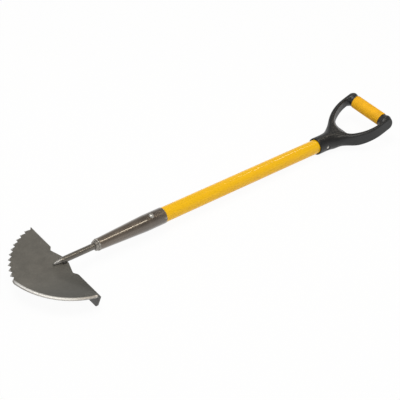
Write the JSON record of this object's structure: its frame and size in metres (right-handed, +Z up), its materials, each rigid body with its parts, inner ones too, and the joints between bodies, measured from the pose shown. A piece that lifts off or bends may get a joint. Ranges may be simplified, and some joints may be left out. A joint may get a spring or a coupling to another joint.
{
  "type": "half moon edger",
  "caption": "Half moon lawn edger: toothed and bevelled steel blade with folded foot treads, welded neck, riveted socket, tubular fibreglass shaft and cranked D handle.",
  "frame": {"origin": "middle of the part's box at floor level, with the tool lying on its two foot treads and on the handle collar", "axes": "+X along the shaft from the blade to the grip, +Y to the toothed side of the blade, +Z up, out of the front of the blade"},
  "size_m": [1.0458, 0.2465, 0.0764],
  "materials": {
    "blade_steel": "dark hardened steel, clear lacquered, ground bright along the edge",
    "neck_steel": "dark forged steel with a ground point",
    "weld_metal": "rippled weld bead",
    "socket_paint": "glossy brown grey lacquer on steel",
    "rivet_steel": "bright plated",
    "shaft_yellow": "satin yellow fibreglass",
    "handle_black": "satin moulded polypropylene",
    "grip_yellow": "matte soft grip",
    "plug_wood": "plain turned hardwood"
  },
  "bodies": {
    "root": {"blade": "blade_steel", "neck_rod": "neck_steel", "blade_weld": "weld_metal", "neck_weld": "weld_metal", "socket": "socket_paint", "socket_rivet": "rivet_steel", "shaft_tube": "shaft_yellow", "socket_plug": "plug_wood", "handle_frame": "handle_black", "handle_plug": "plug_wood", "handle_pin": "rivet_steel", "grip_sleeve": "grip_yellow"}
  },
  "joints": []
}
